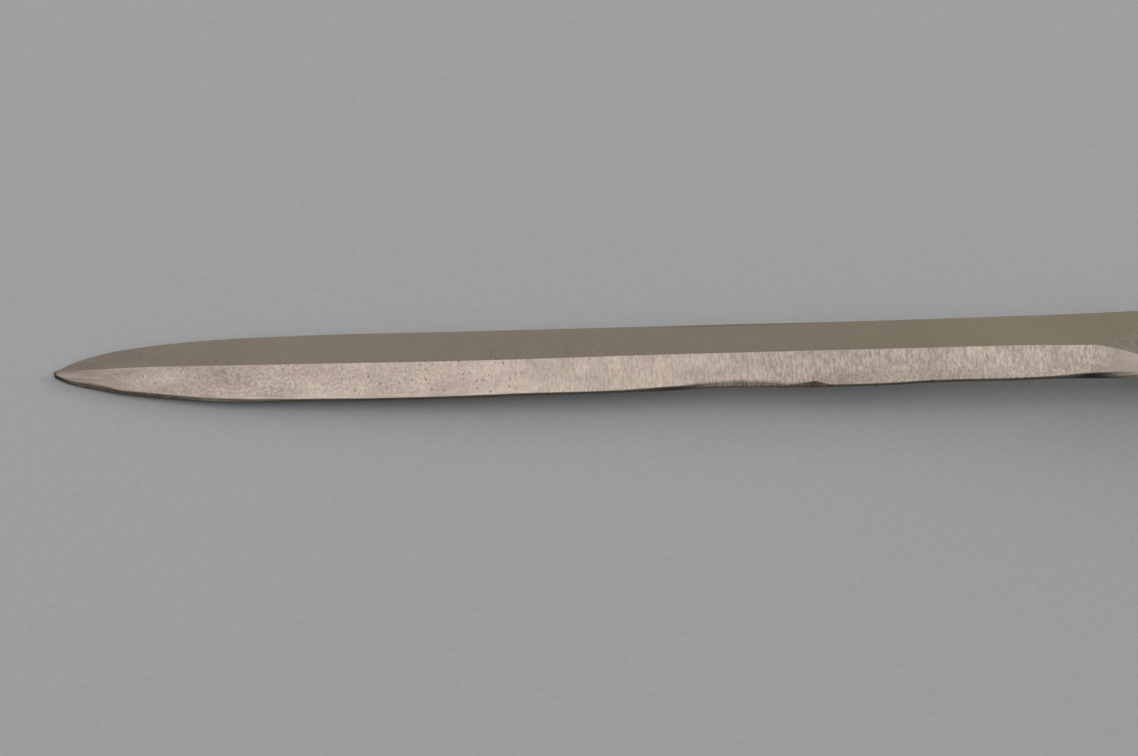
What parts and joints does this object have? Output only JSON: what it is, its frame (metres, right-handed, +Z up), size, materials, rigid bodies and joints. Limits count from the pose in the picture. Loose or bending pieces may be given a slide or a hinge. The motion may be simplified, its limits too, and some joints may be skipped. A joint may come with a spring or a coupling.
{
  "type": "letter opener",
  "caption": "Letter opener with a slim, blunt-edged blade of diamond section and a spear point, on a full tang with brass bolsters and a riveted dark wood handle.",
  "frame": {"origin": "on the desk, under the middle of the whole opener", "axes": "+X from the point to the butt, +Z up from the desk, +Y across the blade"},
  "size_m": [0.264, 0.018, 0.0148],
  "materials": {
    "blade_steel": "hand-ground across the blade, warm grey, fine scratches and small pits",
    "brass_fittings": "satin brass, handled, slightly dulled",
    "handle_wood": "oiled dark hardwood with grain along the handle"
  },
  "bodies": {
    "root": {"blade": "blade_steel", "upper_bolster": "brass_fittings", "lower_bolster": "brass_fittings", "front_bolster_pin": "brass_fittings", "rear_bolster_pin": "brass_fittings", "upper_scale": "handle_wood", "lower_scale": "handle_wood", "front_rivet_stud": "brass_fittings", "front_rivet_socket": "brass_fittings", "middle_rivet_stud": "brass_fittings", "middle_rivet_socket": "brass_fittings", "rear_rivet_stud": "brass_fittings", "rear_rivet_socket": "brass_fittings"}
  },
  "joints": []
}
